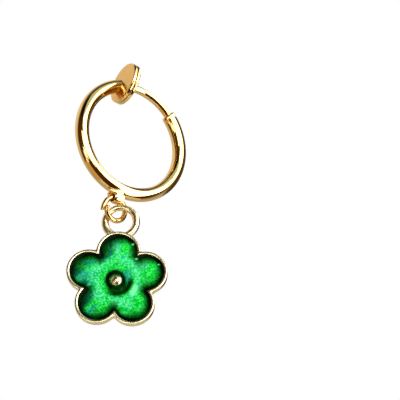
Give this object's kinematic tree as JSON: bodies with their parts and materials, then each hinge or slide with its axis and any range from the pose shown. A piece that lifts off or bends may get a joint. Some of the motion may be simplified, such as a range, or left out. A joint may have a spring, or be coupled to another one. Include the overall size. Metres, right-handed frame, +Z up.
{
  "type": "clip-on hoop earring",
  "caption": "Clip-on hoop earring: a sprung wire slides in a C-shaped tube to clamp two round pads, and a green enamelled flower drop hangs from a jump ring.",
  "frame": {"origin": "centre of the plane where the two clip pads meet, where the earring is clamped on", "axes": "+Z up, the drop hangs along -Z; +Y along the hoop's axis, away from the flower's front; +X across the hoop, from the fixed pad towards the moving pad, whose planes lean 8 degrees"},
  "size_m": [0.0131, 0.0065, 0.028],
  "materials": {
    "gold": "gold-plated, polished",
    "pale_gold": "gold-plated casting, polished",
    "green_enamel": "glossy"
  },
  "bodies": {
    "hoop": {"hoop_tube": "gold"},
    "arm": {"spring_arm": "gold"},
    "drop": {"jump_ring": "gold", "flower_setting": "pale_gold", "enamel": "green_enamel"}
  },
  "joints": [
    {"name": "pad_slide_turn", "type": "hinge", "parent": "hoop", "child": "arm", "pos_m": [0.00158, 0.00074, -0.00563], "axis": [0, 1, 0], "range_deg": [0, 40], "stiffness_Nm_per_rad": 0.006, "springref_deg": -45.84},
    {"name": "drop_swing", "type": "hinge", "parent": "hoop", "child": "drop", "pos_m": [0.00027, 0.00074, -0.01239], "axis": [1, 0, 0], "range_deg": [-60, 60]}
  ]
}
